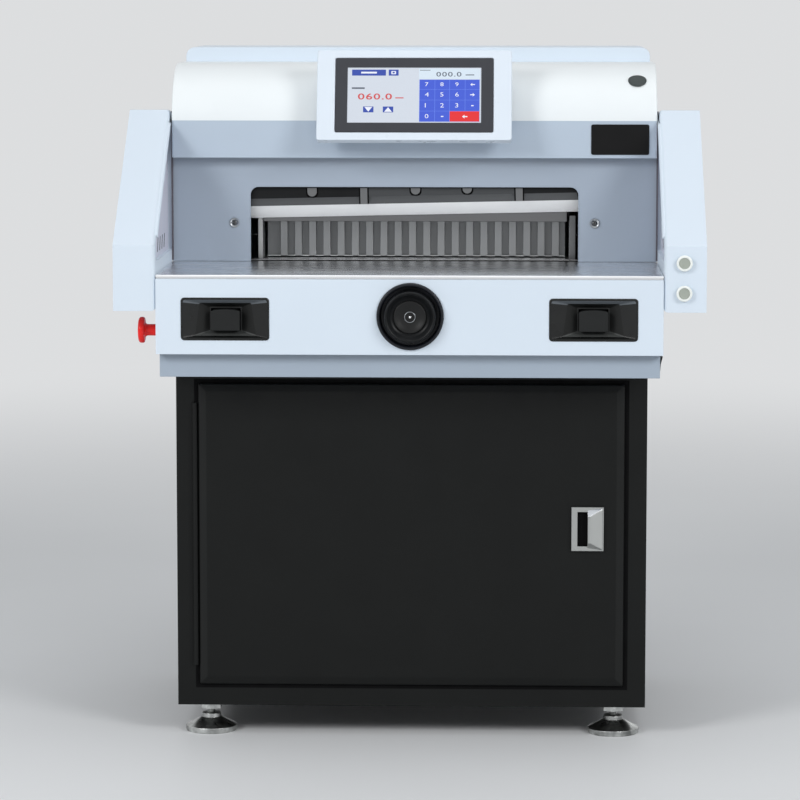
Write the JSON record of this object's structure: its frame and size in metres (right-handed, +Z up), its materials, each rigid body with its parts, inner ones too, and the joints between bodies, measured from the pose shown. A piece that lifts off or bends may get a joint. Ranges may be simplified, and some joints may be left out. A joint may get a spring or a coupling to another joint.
{
  "type": "electric paper cutter",
  "caption": "Floor-standing electric guillotine for reams: a slanting knife and clamp over a polished table, moving backgauge, touch screen, two-hand cut buttons, cabinet stand.",
  "frame": {"origin": "on the floor, under the centre of the machine's bounding box", "axes": "+Z up, +X to the operator's right, the operator stands at -Y and looks along +Y"},
  "size_m": [0.892, 0.9, 1.0605],
  "materials": {
    "body_paint": "semi-gloss powder coat, light blue grey",
    "white_paint": "semi-gloss powder coat, cool white",
    "panel_paint": "satin powder coat, blue grey",
    "black_paint": "fine satin powder coat, black",
    "black_plastic": "moulded, black",
    "housing_plastic": "moulded, cool white",
    "table_steel": "ground and polished",
    "dark_steel": "blackened steel",
    "knife_steel": "ground knife steel",
    "zinc_steel": "zinc and chrome plate",
    "gauge_aluminium": "milled, dark",
    "cast_grey": "painted casting",
    "screen_glass": "lit display under glass",
    "stop_red": "red moulding",
    "button_white": "ivory moulding",
    "stick_plastic": "dark cutting stick"
  },
  "bodies": {
    "machine_body": {"work_table": "table_steel", "cutting_stick": "stick_plastic", "front_fascia": "body_paint", "base_tray": "body_paint", "base_rear_panel": "body_paint", "body_side_left": "body_paint", "body_side_right": "body_paint", "cabinet": "black_paint", "foot_front_left": "zinc_steel", "foot_front_right": "zinc_steel", "foot_rear_left": "zinc_steel", "foot_rear_right": "zinc_steel", "door_hinge": "black_paint", "guard_left": "body_paint", "guard_right": "body_paint", "recess_panel": "panel_paint", "hood": "white_paint", "rear_cover": "white_paint", "rear_table_cover": "body_paint", "hood_plug": "black_plastic", "blank_plate": "black_plastic", "screen_housing": "housing_plastic", "screen_bezel": "black_plastic", "touch_screen": "screen_glass", "screen_bracket": "body_paint", "frame_left": "cast_grey", "frame_right": "cast_grey", "crossbeam": "cast_grey", "knife_guide_plate": "dark_steel", "gearbox": "cast_grey", "main_motor": "cast_grey", "side_guide_left": "zinc_steel", "side_guide_right": "zinc_steel", "screw_bearing": "cast_grey", "gauge_motor": "cast_grey", "cup_left": "black_plastic", "cup_right": "black_plastic", "handwheel_bezel": "black_plastic", "wheel_encoder": "cast_grey", "stop_collar": "button_white", "control_box": "black_plastic", "mains_inlet": "black_plastic"},
    "knife_guide": {"knife_guide_block": "dark_steel"},
    "knife": {"knife_carrier": "dark_steel", "knife_blade": "knife_steel"},
    "pull_rod_body": {"pull_rod": "dark_steel"},
    "drive_lever_body": {"drive_lever": "dark_steel"},
    "clamp": {"clamp_beam": "gauge_aluminium"},
    "backgauge_body": {"backgauge": "gauge_aluminium", "gauge_carriage": "cast_grey"},
    "lead_screw_body": {"lead_screw": "zinc_steel"},
    "handwheel_body": {"handwheel": "black_plastic"},
    "cut_button_left_body": {"cut_button_left": "black_plastic"},
    "cut_button_right_body": {"cut_button_right": "black_plastic"},
    "e_stop_body": {"e_stop": "stop_red"},
    "push_button_upper_body": {"push_button_upper": "button_white"},
    "push_button_lower_body": {"push_button_lower": "button_white"},
    "power_rocker_body": {"power_rocker": "black_plastic"},
    "door_body": {"door": "black_paint", "door_handle": "zinc_steel"}
  },
  "joints": [
    {"name": "knife_slide", "type": "slide", "parent": "machine_body", "child": "knife_guide", "axis": [-0.4318, 0, -0.9019], "range_m": [0, 0.081]},
    {"name": "knife_tilt", "type": "hinge", "parent": "knife_guide", "child": "knife", "pos_m": [0, -0.154, 0.92], "axis": [0, 1, 0], "range_deg": [0, 1.24]},
    {"name": "pull_rod_swing", "type": "hinge", "parent": "knife", "child": "pull_rod_body", "pos_m": [-0.32475, -0.1437, 0.90501], "axis": [0, -1, 0], "range_deg": [0, 10.7]},
    {"name": "lever_swing", "type": "hinge", "parent": "machine_body", "child": "drive_lever_body", "pos_m": [-0.2422, -0.1352, 0.658], "axis": [0, -1, 0], "range_deg": [0, 38.8]},
    {"name": "clamp_slide", "type": "slide", "parent": "machine_body", "child": "clamp", "axis": [0, 0, -1], "range_m": [0, 0.06]},
    {"name": "gauge_slide", "type": "slide", "parent": "machine_body", "child": "backgauge_body", "axis": [0, 1, 0], "range_m": [0, 0.43]},
    {"name": "screw_turn", "type": "hinge", "parent": "machine_body", "child": "lead_screw_body", "pos_m": [0, -0.104, 0.68], "axis": [0, 1, 0], "range_deg": [0, 9700]},
    {"name": "handwheel_turn", "type": "hinge", "parent": "machine_body", "child": "handwheel_body", "pos_m": [0.0017, -0.43, 0.6658], "axis": [0, 1, 0], "continuous": true},
    {"name": "cut_button_left_press", "type": "slide", "parent": "machine_body", "child": "cut_button_left_body", "axis": [0, 1, 0], "range_m": [0, 0.005], "stiffness_N_per_m": 400},
    {"name": "cut_button_right_press", "type": "slide", "parent": "machine_body", "child": "cut_button_right_body", "axis": [0, 1, 0], "range_m": [0, 0.005], "stiffness_N_per_m": 400},
    {"name": "e_stop_press", "type": "slide", "parent": "machine_body", "child": "e_stop_body", "axis": [1, 0, 0], "range_m": [0, 0.005], "stiffness_N_per_m": 900},
    {"name": "push_button_upper_press", "type": "slide", "parent": "machine_body", "child": "push_button_upper_body", "axis": [0, 1, 0], "range_m": [0, 0.003], "stiffness_N_per_m": 500},
    {"name": "push_button_lower_press", "type": "slide", "parent": "machine_body", "child": "push_button_lower_body", "axis": [0, 1, 0], "range_m": [0, 0.003], "stiffness_N_per_m": 500},
    {"name": "power_rocker_press", "type": "hinge", "parent": "machine_body", "child": "power_rocker_body", "pos_m": [0.378, -0.37, 0.589], "axis": [0, -1, 0], "range_deg": [0, 12]},
    {"name": "door_swing", "type": "hinge", "parent": "machine_body", "child": "door_body", "pos_m": [-0.334, -0.3193, 0.316], "axis": [0, 0, -1], "range_deg": [0, 110]}
  ],
  "couplings": [
    {"joint": "knife_tilt", "follows": "knife_slide", "rad_per_m": 0.2654},
    {"joint": "pull_rod_swing", "follows": "knife_slide", "rad_per_m": 2.2888},
    {"joint": "lever_swing", "follows": "knife_slide", "rad_per_m": 8.3251},
    {"joint": "screw_turn", "follows": "gauge_slide", "rad_per_m": 392.7}
  ]
}
